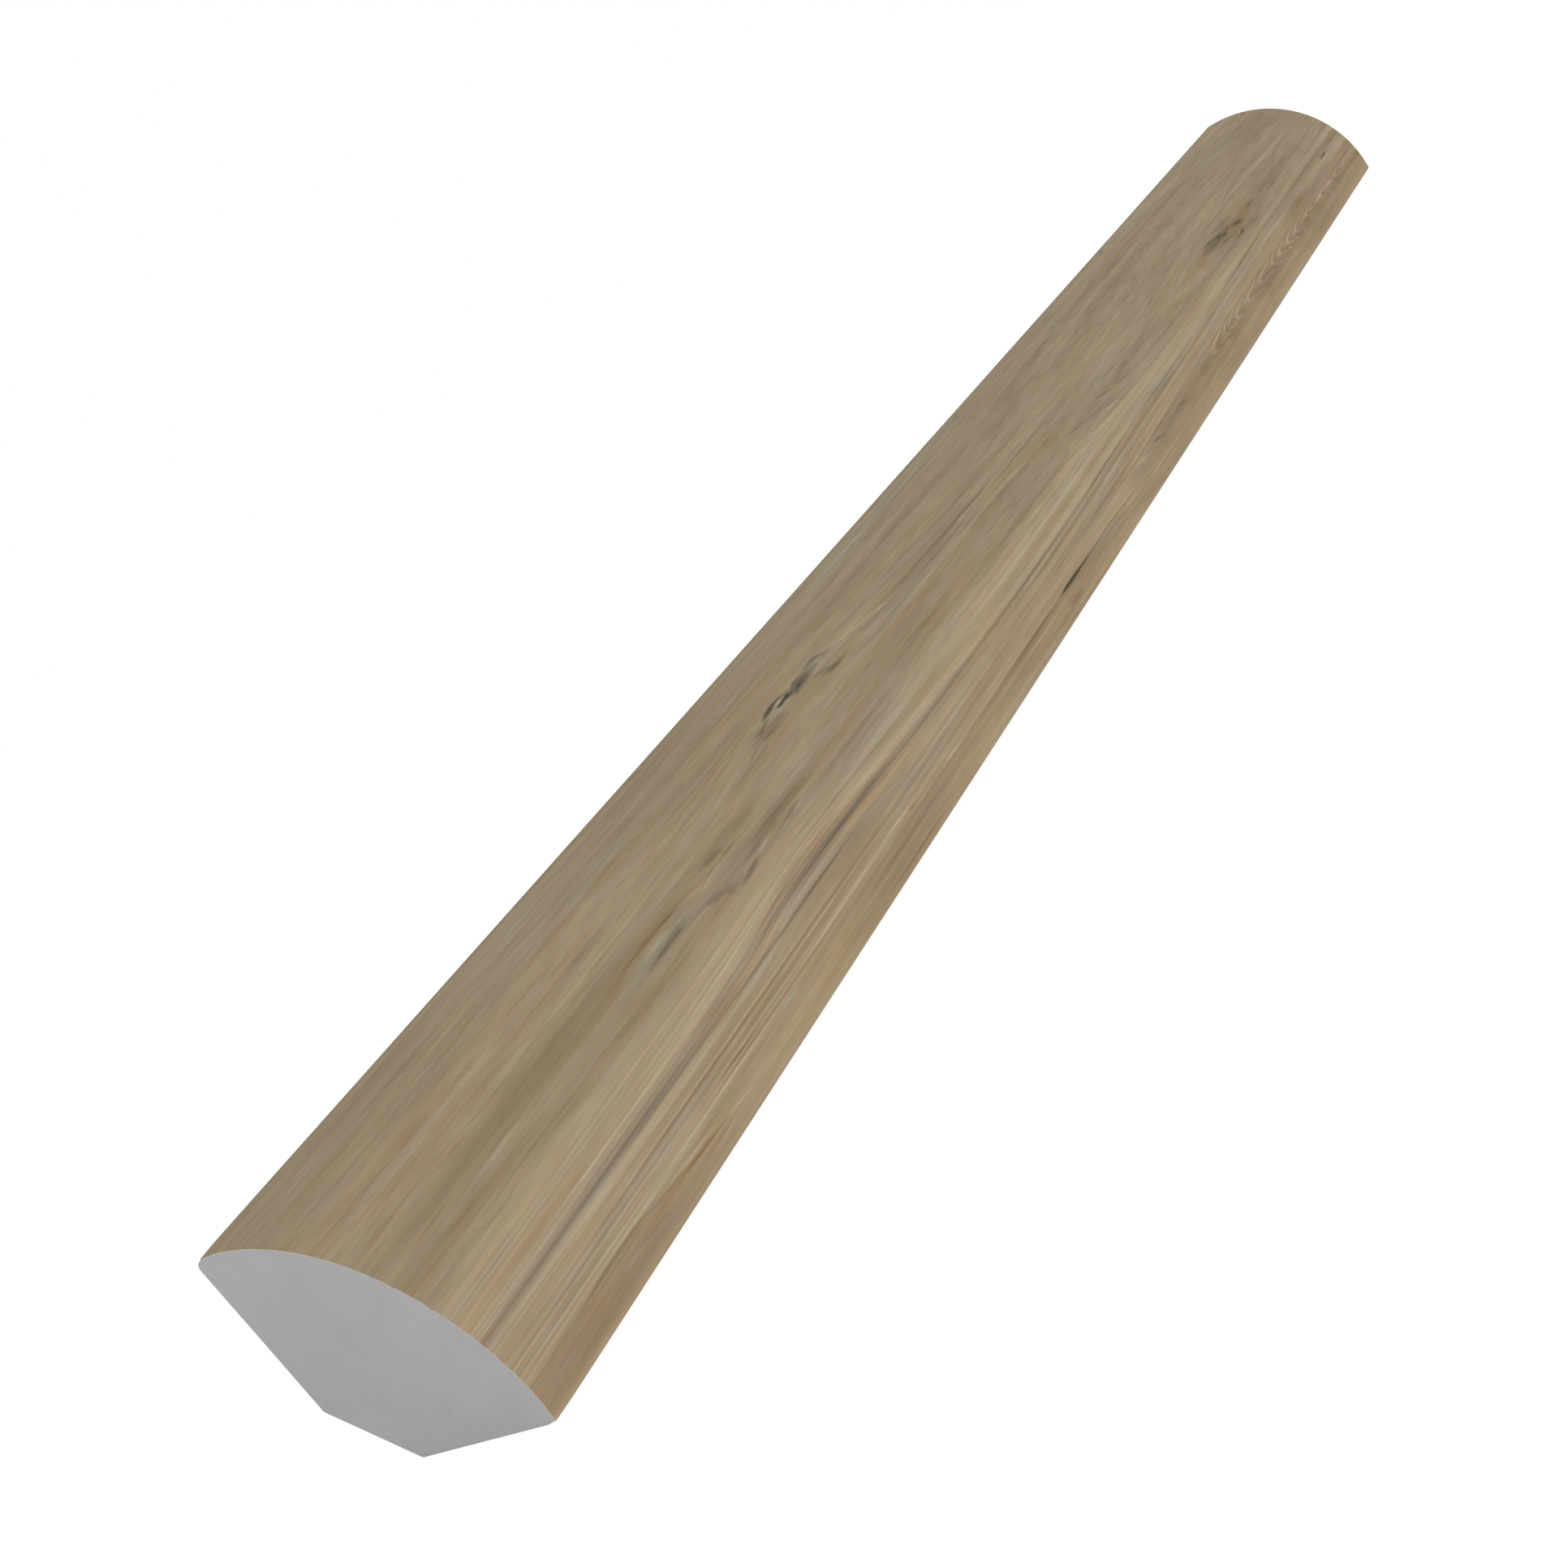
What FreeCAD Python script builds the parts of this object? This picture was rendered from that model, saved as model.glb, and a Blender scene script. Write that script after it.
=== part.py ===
import FreeCAD, Part
import Sketcher
import os

# Quarter round moulding: a length of extruded core with a wood grain film glued over its face.
# The section is a quarter of a circle between two flat backs that meet at a right angle.
# One back lies on the floor and the other stands against the wall.
# The corner between the backs is bevelled off, so that it clears whatever fills the joint.
# The frame is in millimetres: X runs along the moulding, +Y points at the wall and +Z up.
# The origin is on the floor, under the middle of the piece.

doc = FreeCAD.newDocument("quarter_round_moulding")

# Driving dimensions: alias, value in millimetres, what it measures
DRIVING_DIMENSIONS = [
    ("leg", 19.05, "from the back corner, before its bevel, to the outside of the film"),
    ("piece_length", 266.7, "length of the piece between its two square saw cuts"),
    ("nose_height", 1.1, "straight edge at each end of the curve, above the backs"),
    ("back_bevel", 5.44, "how far the back corner's bevel reaches along each back"),
    ("film_thickness", 0.12, "wood grain film, with its clear wear layer"),
    ("wall_edge_round", 0.8, "radius of the bare core edge at the wall"),
    ("floor_edge_run", 1.0, "how far the bare core edge at the floor is eased along the floor"),
    ("floor_edge_rise", 0.2, "how far the bare core edge at the floor is eased upwards"),
]

sizes = doc.addObject("Spreadsheet::Sheet", "Sizes")
for row, (alias, value, meaning) in enumerate(DRIVING_DIMENSIONS, start=1):
    sizes.set(f"A{row}", meaning)
    sizes.set(f"B{row}", str(value))
    sizes.setAlias(f"B{row}", alias)
doc.recompute()

# Sketch points of a line or an arc, as Sketcher numbers them
START, END, CENTRE = 1, 2, 3
# The sketch's own origin, and its horizontal axis
ORIGIN, HORIZONTAL_AXIS = -1, -1


def section_sketch(body, name):
    """An empty sketch on the plane across the moulding: its x is the frame's Y, and its y the frame's Z."""
    sketch = body.newObject("Sketcher::SketchObject", name)
    plane = [f for f in body.Origin.OriginFeatures if f.Role == "YZ_Plane"][0]
    sketch.AttachmentSupport = [(plane, "")]
    sketch.MapMode = "FlatFace"
    return sketch


def constrain(sketch, kind, *places):
    """A geometric constraint, such as Coincident, between the given elements and points."""
    return sketch.addConstraint(Sketcher.Constraint(kind, *places))


def dimension(sketch, name, kind, places, value, formula):
    """A dimension that starts at value and then follows a formula of the driving dimensions."""
    index = sketch.addConstraint(Sketcher.Constraint(kind, *places, value))
    sketch.renameConstraint(index, name)
    sketch.setExpression(f"Constraints.{name}", formula)
    return index


def line(sketch, start, end):
    """A straight edge of the outline."""
    return sketch.addGeometry(Part.LineSegment(FreeCAD.Vector(*start, 0), FreeCAD.Vector(*end, 0)), False)


def arc(sketch, centre, radius, start_angle, end_angle):
    """A round edge of the outline, run anticlockwise from start_angle to end_angle, in radians."""
    circle = Part.Circle(FreeCAD.Vector(*centre, 0), FreeCAD.Vector(0, 0, 1), radius)
    return sketch.addGeometry(Part.ArcOfCircle(circle, start_angle, end_angle), False)


def pad_along(body, sketch, name):
    """The sketched section run along the moulding, half of the length to each side of the middle."""
    pad = body.newObject("PartDesign::Pad", name)
    pad.Profile = sketch
    pad.SideType = "Symmetric"
    pad.setExpression("Length", "Sizes.piece_length")
    sketch.Visibility = False
    body.Tip = pad
    return pad


PI = 3.141592653589793
QUARTER_TURN, HALF_TURN = PI / 2, PI

# First positions for the sketch points, which the constraints then hold
leg = float(sizes.leg)
film = float(sizes.film_thickness)
nose = float(sizes.nose_height)
bevel = float(sizes.back_bevel)
wall_round = float(sizes.wall_edge_round)
run = float(sizes.floor_edge_run)
rise = float(sizes.floor_edge_rise)
wall = leg / 2
front = -leg / 2
curve_centre = (wall - nose, nose)
face_radius = leg - nose


def build_core():
    """The extruded core: two flat backs, the bevel between them and the curve that carries the film."""
    body = doc.addObject("PartDesign::Body", "core")
    body.Label = "core"
    sketch = section_sketch(body, "core_section")
    core_front = front + film
    core_top = leg - film
    round_centre = (wall - wall_round, core_top - wall_round)

    back_corner_bevel = line(sketch, (wall, bevel), (wall - bevel, 0))
    floor_back = line(sketch, (wall - bevel, 0), (core_front + run, 0))
    floor_edge = line(sketch, (core_front + run, 0), (core_front, rise))
    floor_nose = line(sketch, (core_front, rise), (core_front, nose))
    curve = arc(sketch, curve_centre, face_radius - film, QUARTER_TURN, HALF_TURN)
    wall_nose = line(sketch, (wall - nose, core_top), (wall - wall_round, core_top))
    wall_edge = arc(sketch, round_centre, wall_round, 0, QUARTER_TURN)
    wall_back = line(sketch, (wall, core_top - wall_round), (wall, bevel))

    constrain(sketch, "Coincident", back_corner_bevel, END, floor_back, START)
    constrain(sketch, "Coincident", floor_back, END, floor_edge, START)
    constrain(sketch, "Coincident", floor_edge, END, floor_nose, START)
    constrain(sketch, "Tangent", floor_nose, END, curve, END)
    constrain(sketch, "Tangent", curve, START, wall_nose, START)
    constrain(sketch, "Tangent", wall_nose, END, wall_edge, END)
    constrain(sketch, "Tangent", wall_edge, START, wall_back, START)
    constrain(sketch, "Coincident", wall_back, END, back_corner_bevel, START)
    constrain(sketch, "PointOnObject", floor_back, START, HORIZONTAL_AXIS)
    constrain(sketch, "Horizontal", floor_back)
    constrain(sketch, "Horizontal", wall_nose)
    constrain(sketch, "Vertical", floor_nose)
    constrain(sketch, "Vertical", wall_back)

    dimension(sketch, "wall_place", "DistanceX", (ORIGIN, START, wall_back, END), wall, "Sizes.leg / 2")
    dimension(sketch, "bevel_up_wall", "DistanceY", (ORIGIN, START, wall_back, END), bevel, "Sizes.back_bevel")
    dimension(sketch, "bevel_along_floor", "DistanceX", (floor_back, START, wall_back, END), bevel,
              "Sizes.back_bevel")
    dimension(sketch, "core_width", "DistanceX", (floor_nose, START, wall_back, END), leg - film,
              "Sizes.leg - Sizes.film_thickness")
    dimension(sketch, "curve_centre_height", "DistanceY", (ORIGIN, START, curve, CENTRE), nose,
              "Sizes.nose_height")
    dimension(sketch, "curve_radius", "Radius", (curve,), face_radius - film,
              "Sizes.leg - Sizes.nose_height - Sizes.film_thickness")
    dimension(sketch, "wall_edge_radius", "Radius", (wall_edge,), wall_round, "Sizes.wall_edge_round")
    dimension(sketch, "floor_edge_along", "DistanceX", (floor_edge, END, floor_edge, START), run,
              "Sizes.floor_edge_run")
    dimension(sketch, "floor_edge_up", "DistanceY", (ORIGIN, START, floor_edge, END), rise,
              "Sizes.floor_edge_rise")
    pad_along(body, sketch, "core_length")
    return body


def build_film():
    """The wood grain film: it covers the curve and both noses, and is trimmed where the bare edges begin."""
    body = doc.addObject("PartDesign::Body", "wood_film")
    body.Label = "wood_film"
    sketch = section_sketch(body, "film_section")
    inner_front = front + film
    inner_top = leg - film
    trim_at_wall = wall - wall_round

    floor_trim = line(sketch, (inner_front, rise), (front, rise))
    outer_floor_nose = line(sketch, (front, rise), (front, nose))
    outer_curve = arc(sketch, curve_centre, face_radius, QUARTER_TURN, HALF_TURN)
    outer_wall_nose = line(sketch, (wall - nose, leg), (trim_at_wall, leg))
    wall_trim = line(sketch, (trim_at_wall, leg), (trim_at_wall, inner_top))
    inner_wall_nose = line(sketch, (trim_at_wall, inner_top), (wall - nose, inner_top))
    inner_curve = arc(sketch, curve_centre, face_radius - film, QUARTER_TURN, HALF_TURN)
    inner_floor_nose = line(sketch, (inner_front, nose), (inner_front, rise))

    constrain(sketch, "Coincident", floor_trim, END, outer_floor_nose, START)
    constrain(sketch, "Tangent", outer_floor_nose, END, outer_curve, END)
    constrain(sketch, "Tangent", outer_curve, START, outer_wall_nose, START)
    constrain(sketch, "Coincident", outer_wall_nose, END, wall_trim, START)
    constrain(sketch, "Coincident", wall_trim, END, inner_wall_nose, START)
    constrain(sketch, "Tangent", inner_wall_nose, END, inner_curve, START)
    constrain(sketch, "Tangent", inner_curve, END, inner_floor_nose, START)
    constrain(sketch, "Coincident", inner_floor_nose, END, floor_trim, START)
    constrain(sketch, "Coincident", outer_curve, CENTRE, inner_curve, CENTRE)
    constrain(sketch, "Horizontal", floor_trim)
    constrain(sketch, "Vertical", outer_floor_nose)
    constrain(sketch, "Vertical", wall_trim)
    constrain(sketch, "Horizontal", outer_wall_nose)
    constrain(sketch, "Horizontal", inner_wall_nose)
    constrain(sketch, "Vertical", inner_floor_nose)

    dimension(sketch, "front_place", "DistanceX", (outer_floor_nose, END, ORIGIN, START), leg / 2,
              "Sizes.leg / 2")
    dimension(sketch, "curve_centre_height", "DistanceY", (ORIGIN, START, outer_curve, CENTRE), nose,
              "Sizes.nose_height")
    dimension(sketch, "face_radius", "Radius", (outer_curve,), face_radius, "Sizes.leg - Sizes.nose_height")
    dimension(sketch, "glued_radius", "Radius", (inner_curve,), face_radius - film,
              "Sizes.leg - Sizes.nose_height - Sizes.film_thickness")
    dimension(sketch, "trim_height", "DistanceY", (ORIGIN, START, floor_trim, END), rise,
              "Sizes.floor_edge_rise")
    dimension(sketch, "trim_from_wall", "DistanceX", (outer_curve, CENTRE, wall_trim, START),
              nose - wall_round, "Sizes.nose_height - Sizes.wall_edge_round")
    pad_along(body, sketch, "film_length")
    return body


sub_parts = [build_core(), build_film()]
doc.recompute()

for sketch in [thing for thing in doc.Objects if thing.TypeId == "Sketcher::SketchObject"]:
    if not sketch.FullyConstrained:
        raise RuntimeError(f"{sketch.Name} isn't fully constrained")

for thing in doc.Objects:
    if "Invalid" in thing.State or "Error" in thing.State:
        raise RuntimeError(f"{thing.Name} failed to recompute")

os.makedirs("parts", exist_ok=True)
for body in sub_parts:
    if body.Shape.isNull() or not body.Shape.isValid():
        raise RuntimeError(f"{body.Label} has no valid shape")
for body in sub_parts:
    body.Shape.exportStep(f"parts/{body.Label}.step")
    print(body.Label, "volume", round(body.Shape.Volume, 1), "mm3, box", body.Shape.BoundBox)
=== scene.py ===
import math

import bmesh
import bpy
from mathutils import Matrix, Vector


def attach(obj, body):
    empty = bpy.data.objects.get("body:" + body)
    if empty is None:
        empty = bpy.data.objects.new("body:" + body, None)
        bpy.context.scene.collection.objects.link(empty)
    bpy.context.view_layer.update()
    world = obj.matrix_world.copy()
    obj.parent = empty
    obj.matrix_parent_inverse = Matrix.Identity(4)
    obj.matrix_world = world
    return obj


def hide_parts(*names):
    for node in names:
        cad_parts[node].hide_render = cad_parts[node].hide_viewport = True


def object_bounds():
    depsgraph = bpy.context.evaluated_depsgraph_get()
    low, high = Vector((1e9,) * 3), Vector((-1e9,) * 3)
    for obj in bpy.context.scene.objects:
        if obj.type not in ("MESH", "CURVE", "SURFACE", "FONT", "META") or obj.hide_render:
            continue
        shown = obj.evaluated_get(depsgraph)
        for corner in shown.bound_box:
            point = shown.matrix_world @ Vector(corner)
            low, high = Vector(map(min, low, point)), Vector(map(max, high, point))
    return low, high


bl_info = {
    "name": "Quarter round moulding",
    "version": (1, 0, 0),
    "blender": (4, 5, 0),
    "location": "View3D > Sidebar > Moulding",
    "description": "Models a length of quarter round trim: a grey foamed core under a wood grain film",
    "category": "Add Mesh",
}

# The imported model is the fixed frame. X runs along the moulding, +Y points at the wall and +Z up.
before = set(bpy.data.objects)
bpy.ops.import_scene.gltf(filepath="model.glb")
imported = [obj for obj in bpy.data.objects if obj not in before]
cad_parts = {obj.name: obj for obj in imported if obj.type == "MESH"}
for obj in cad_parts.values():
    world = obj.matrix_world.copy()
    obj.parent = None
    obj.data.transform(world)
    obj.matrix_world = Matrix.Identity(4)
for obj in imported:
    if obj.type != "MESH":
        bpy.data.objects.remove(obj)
CAD_BOX = [list(corner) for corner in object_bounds()]
NEAR_END, FAR_END = CAD_BOX[0][0], CAD_BOX[1][0]
WALL, TOP = CAD_BOX[1][1], CAD_BOX[1][2]
FULL_LENGTH = FAR_END - NEAR_END

MM = 0.001
QUARTER_TURN = math.pi / 2
WHITE = (1.0, 1.0, 1.0, 1.0)


def paint(red, green, blue):
    """A colour as it is named in a picture, from 0 to 255, turned into the linear colour of Blender."""
    shares = [part / 255 for part in (red, green, blue)]
    return tuple(s / 12.92 if s <= 0.04045 else ((s + 0.055) / 1.055) ** 2.4 for s in shares)


def length(name, description, default):
    """A size in metres for a property group."""
    return bpy.props.FloatProperty(name=name, description=description, default=default, min=0.0,
                                   unit="LENGTH", subtype="DISTANCE", precision=5)


def colour(name, description, *tone):
    """A colour for a property group, its default given from 0 to 255."""
    return bpy.props.FloatVectorProperty(name=name, description=description, default=paint(*tone),
                                         min=0.0, max=1.0, size=3, subtype="COLOR")


class MouldingSizes(bpy.types.PropertyGroup):
    """The sizes of the section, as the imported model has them, and of its softened corners."""
    nose: length("Nose height", "Straight edge at each end of the curve, above the backs", 1.1 * MM)
    back_bevel: length("Back bevel", "Reach of the back corner's bevel along each back", 5.44 * MM)
    film: length("Film thickness", "Wood grain film with its clear wear layer", 0.12 * MM)
    wall_round: length("Wall edge radius", "Rounding of the bare core edge at the wall", 0.8 * MM)
    floor_run: length("Floor edge run", "How far the bare core edge is eased along the floor", 1.0 * MM)
    floor_rise: length("Floor edge rise", "How far the bare core edge is eased upwards", 0.2 * MM)
    corner_round: length("Back corner rounding", "Width of the soft corners at the bevel", 0.08 * MM)
    saw_softness: length("Sawn edge softness", "Width of the soft bare edges of the saw cuts", 0.08 * MM)


class GrainTones(bpy.types.PropertyGroup):
    """The printed tones of the wood grain film."""
    cream: colour("Cream", "Palest grain lines", 180, 166, 139)
    sand: colour("Sand", "The pale band beside the vein", 166, 150, 123)
    blush: colour("Blush", "Plain pinkish areas by the floor edge", 155, 134, 108)
    peach: colour("Peach", "Warm bands along the vein", 169, 147, 117)
    tan: colour("Tan", "Warm streaks", 158, 136, 108)
    rose: colour("Rose", "Reddish lines along the vein", 163, 135, 106)
    brown: colour("Brown", "Warm dark streaks", 142, 117, 90)
    olive: colour("Olive", "Dull dark streaks", 134, 119, 92)
    violet: colour("Violet", "The grey vein", 131, 118, 101)
    slate: colour("Slate", "Cool smears beside the knots", 120, 114, 99)
    umber: colour("Umber", "Dark grain lines", 112, 98, 77)
    bark: colour("Bark", "The darkest outlines of the knots", 78, 73, 60)
    gleam: colour("Gleam", "Cool pale flecks", 160, 154, 137)


class CoreTones(bpy.types.PropertyGroup):
    """The greys of the foamed core and of the film's cut edge."""
    sawn: colour("Sawn core", "Grey of the two saw cuts", 170, 168, 169)
    skin: colour("Extruded skin", "Grey of the two backs and the bevel", 168, 166, 165)
    cut_film: colour("Cut film", "Pale edge of the film at the saw cuts", 176, 171, 159)


def curve_centre(sizes):
    """The middle of the quarter circle, as Y and Z."""
    return WALL - sizes.nose, sizes.nose


def face_radius(sizes):
    """The radius of the film's outside."""
    return TOP - sizes.nose


def girth_of(point, sizes):
    """How far round the face a point lies from the film's lower edge, in metres along the outside."""
    centre_y, centre_z = curve_centre(sizes)
    back, up = centre_y - point.y, point.z - centre_z
    nose_girth = sizes.nose - sizes.floor_rise
    if up <= 0:
        return point.z - sizes.floor_rise
    if back <= 0:
        return nose_girth + face_radius(sizes) * QUARTER_TURN - back
    return nose_girth + face_radius(sizes) * math.atan2(up, back)


def inward_at(point, sizes):
    """The direction into the moulding from a point of its face."""
    centre_y, centre_z = curve_centre(sizes)
    away = Vector((0, min(point.y - centre_y, 0), max(point.z - centre_z, 0)))
    return -away.normalized()


# Wear at the near saw cut: girth where it lies, its reach round the face and along it, and its depth, in mm
SAW_WEAR = [
    (0.3, 1.6, 3.2, 0.13),
    (29.2, 1.2, 2.2, 0.08),
    (10.6, 0.38, 0.5, 0.16),
    (13.4, 0.28, 0.4, 0.10),
]


def wear_saw_cut(mesh, sizes):
    """Rounds off the face's corners at the near saw cut and dents its edge where the blade tore it."""
    for vert in mesh.verts:
        inset, girth = (vert.co.x - NEAR_END) / MM, girth_of(vert.co, sizes) / MM
        depth = 0.0
        for place, reach, run, deep in SAW_WEAR:
            near = max(0.0, 1 - abs(girth - place) / reach) * max(0.0, 1 - inset / run) ** 2
            depth += deep * near
        vert.co += inward_at(vert.co, sizes) * depth * MM


# Cuts across the near end that give its wear a shape, in mm from the saw cut, then evenly to the far end
CLOSE_CUTS = [0.12, 0.25, 0.45, 0.8, 1.3, 2.0, 3.0, 5.0]
EVEN_CUT = 20.0

# Straight steps that the quarter circle and the small round at the wall are drawn in
CURVE_STEPS = 220
WALL_ROUND_STEPS = 10

# Points of the section nearer than this are one place
TOUCH = 0.001 * MM
# How far inside the bevel a point of the section may lie and still count as on it
BEVEL_REACH = 0.5 * MM
# How squarely a face looks along the moulding to be a saw cut, and outwards to carry the print
SAWN_FACING, PRINT_FACING = 0.9, 0.5
# Faces that meet at a steeper angle than this have a crease between them
CREASE_ANGLE = math.radians(28)


def draw_to(mesh, vert, y, z):
    """Draws a straight edge of the section from a point to a new one."""
    drawn = bmesh.ops.extrude_vert_indiv(mesh, verts=[vert])["verts"][0]
    drawn.co = (NEAR_END, y, z)
    return drawn


def swing_round(mesh, vert, centre, steps):
    """Draws a quarter circle of the section from a point, about a centre given as Y and Z."""
    arc = bmesh.ops.spin(mesh, geom=[vert], cent=(NEAR_END, *centre), axis=(1, 0, 0), dvec=(0, 0, 0),
                         angle=-QUARTER_TURN, steps=steps, use_merge=False, use_duplicate=False)
    return [g for g in arc["geom_last"] if isinstance(g, bmesh.types.BMVert)][0]


def send_to_far_end(mesh, extruded):
    """Moves the new end of an extruded section from the near saw cut to the far one."""
    moved = [g for g in extruded["geom"] if isinstance(g, bmesh.types.BMVert)]
    bmesh.ops.translate(mesh, verts=moved, vec=(FULL_LENGTH, 0, 0))


def cut_across(mesh):
    """Divides the long faces across, finely near the worn end."""
    even_cuts = int(FULL_LENGTH / MM / EVEN_CUT)
    for place in CLOSE_CUTS + [EVEN_CUT * n for n in range(1, even_cuts + 1)]:
        bmesh.ops.bisect_plane(mesh, geom=mesh.verts[:] + mesh.edges[:] + mesh.faces[:],
                               plane_co=(NEAR_END + place * MM, 0, 0), plane_no=(1, 0, 0))


def soften(mesh, edges, width, segments):
    """Rounds sharp edges off."""
    bmesh.ops.bevel(mesh, geom=edges, offset=width, offset_type="OFFSET", affect="EDGES",
                    segments=segments, profile=0.5, material=-1)


def is_bevel_corner(edge, sizes):
    """Whether an edge runs along the moulding where the back bevel meets one of the backs."""
    start, end = edge.verts[0].co, edge.verts[1].co
    corners = [(WALL, sizes.back_bevel), (WALL - sizes.back_bevel, 0)]
    return abs(start.x - end.x) > MM and any(abs(start.y - y) + abs(start.z - z) < TOUCH for y, z in corners)


def is_bare_end(edge, sizes):
    """Whether an edge of a saw cut lies on a back or on the bevel, where no film covers the core."""
    if edge.verts[0].co.x != edge.verts[1].co.x:
        return False
    return all(v.co.z <= sizes.floor_rise / 2 or v.co.y >= WALL - TOUCH
               or v.co.y + sizes.back_bevel - v.co.z > WALL - BEVEL_REACH for v in edge.verts)


def set_creases(mesh):
    """Shades the faces smooth, with a crease where two of them meet at a steep angle."""
    for face in mesh.faces:
        face.smooth = True
    for edge in mesh.edges:
        edge.smooth = len(edge.link_faces) == 2 and edge.calc_face_angle(0.0) < CREASE_ANGLE


def finish_piece(mesh, name, node, materials):
    """Turns a built mesh into a piece that stands for its node: the node is hidden, and the piece takes the
    given materials and hangs from the root.
    """
    data = bpy.data.meshes.new(name)
    mesh.to_mesh(data)
    mesh.free()
    piece = bpy.data.objects.new(name, data)
    bpy.context.scene.collection.objects.link(piece)
    for material in materials:
        data.materials.append(material)
    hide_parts(node)
    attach(piece, "root")


class Field:
    """A socket of a material that Python sums can use like a number."""

    def __init__(self, finish, socket):
        self.finish = finish
        self.socket = socket

    def math(self, operation, *values, **settings):
        return self.finish.node("Math", {"operation": operation, **settings}, dict(enumerate(values)))

    def __add__(self, other):
        return self.math("ADD", self, other)

    __radd__ = __add__

    def __sub__(self, other):
        return self.math("SUBTRACT", self, other)

    def __rsub__(self, other):
        return self.math("SUBTRACT", other, self)

    def __mul__(self, other):
        return self.math("MULTIPLY", self, other)

    __rmul__ = __mul__

    def __truediv__(self, other):
        return self.math("DIVIDE", self, other)

    def __rtruediv__(self, other):
        return self.math("DIVIDE", other, self)

    def __abs__(self):
        return self.math("ABSOLUTE", self)

    def sine(self):
        return self.math("SINE", self)

    def fraction(self):
        return self.math("FRACT", self)

    def clamped(self):
        return self.math("ADD", self, 0.0, use_clamp=True)

    def beside(self, output):
        """Another output of the same node."""
        return Field(self.finish, self.socket.node.outputs[output])


class Finish:
    """A material, or the world, and the nodes that paint it."""

    def __init__(self, painted):
        self.painted = painted
        painted.use_nodes = True
        self.tree = painted.node_tree
        self.tree.nodes.clear()

    def node(self, kind, settings=None, values=None, output=0):
        """Adds a node: first its settings, then the numbers or links of its sockets."""
        node = self.tree.nodes.new("ShaderNode" + kind)
        for name, setting in (settings or {}).items():
            if name == "stops":
                stops = node.color_ramp.elements
                stops[0].position, stops[1].position = setting[0][0], setting[-1][0]
                for place, _ in setting[1:-1]:
                    stops.new(place)
                for stop, (_, tone) in zip(stops, setting):
                    stop.color = (*tone, 1.0)
            elif name == "curve":
                points = node.mapping.curves[0].points
                points[0].location, points[1].location = setting[0], setting[-1]
                for place in setting[1:-1]:
                    points.new(*place)
                node.mapping.update()
            else:
                setattr(node, name, setting)
        for name, value in (values or {}).items():
            if isinstance(value, Field):
                self.tree.links.new(value.socket, node.inputs[name])
            else:
                node.inputs[name].default_value = value
        return Field(self, node.outputs[output]) if node.outputs else None

    def vector(self, operation, *values, output=0):
        """A sum on vectors."""
        return self.node("VectorMath", {"operation": operation}, dict(enumerate(values)), output)

    def shaded(self, tone, red, green, blue):
        """A colour with its red, green and blue made lighter or darker."""
        return self.vector("MULTIPLY", tone, self.node("CombineXYZ", None, {0: red, 1: green, 2: blue}))

    def mix(self, share, first, second):
        """A blend of two colours, the second of them even."""
        return self.node("Mix", {"data_type": "RGBA"}, {0: share, 6: first, 7: (*second, 1.0)}, 2)

    def ease(self, value, low, high):
        """Rises smoothly from 0 at low to 1 at high, or falls where low is the larger."""
        return self.node("MapRange", {"interpolation_type": "SMOOTHSTEP"}, {0: value, 1: low, 2: high})

    def grit(self, scale, detail=2.0, roughness=0.5):
        """Even noise from 0 to 1 through the piece, in repeats to a metre."""
        place = self.node("TexCoord", None, None, "Object")
        return self.node("TexNoise", None, {"Vector": place, "Scale": scale, "Detail": detail,
                                            "Roughness": roughness})

    def give(self, tone, roughness, gloss, bump=None, bump_depth=0.0):
        """The surface itself: what varies is linked, and the even gloss is set on the shader."""
        values = {"Base Color": tone, "Roughness": roughness, "Specular IOR Level": gloss}
        if bump is not None:
            values["Normal"] = self.node("Bump", None, {"Height": bump, "Distance": bump_depth})
        self.node("OutputMaterial", None, {"Surface": self.node("BsdfPrincipled", None, values)})
        return self.painted


# The UV map of the print holds the place along the moulding and the girth, both as shares of the full length
PRINT_UV = "print"

# Grain lines followed along the moulding: girth at the near end, then places and the rise there, in mm
GRAIN_FLOW = [
    (2.5, [(0, 0), (125, 0), (138, -0.5), (150, -0.8), (200, -0.6), (267, -0.6)]),
    (4.3, [(0, 0), (140, 0), (155, 0.3), (175, 0.9), (200, 0.8), (267, 0.4)]),
    (7.0, [(0, 0), (22, 0.0), (40, 0.35), (52, 1.1), (60, 0.95), (70, 0.35), (82, 0), (105, -0.35),
           (120, -0.3), (140, 0.2), (170, 0.4), (205, 1.1), (267, 1.2)]),
    (10.6, [(0, 0), (120, 0), (140, -0.3), (156, -1.0), (180, -1.3), (210, -1.3), (235, -0.6), (267, 0)]),
    (13.6, [(0, 0), (28, 0.2), (38, 0.7), (48, 0.2), (70, 0), (110, -0.2), (135, -0.7), (152, -1.1),
            (180, -0.6), (210, 0.5), (235, 0), (267, -0.2)]),
    (17.4, [(0, 0), (50, 0), (70, 0.8), (80, 0.5), (95, -0.6), (112, -1.3), (135, -1.9), (170, -1.6),
            (212, -1.0), (240, -1.5), (267, -2.2)]),
    (22.5, [(0, 0), (70, 0.2), (120, -0.3), (170, 0.1), (210, 0.3), (240, -0.7), (267, -1.8)]),
    (29.4, [(0, 0), (120, 0.2), (267, 0)]),
]
# Where the followed lines end, and the most that one may rise or fall, in mm
FLOW_END = 267.0
FLOW_REACH = 3.0

# Places where the grain parts round a knot: along, girth, reach along, reach round, how far it parts
KNOTS = [
    (37.0, 13.5, 6.0, 0.9, 0.75),
    (72.5, 18.6, 4.5, 0.75, 0.8),
    (210.0, 11.6, 9.0, 1.5, 0.7),
]

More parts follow.
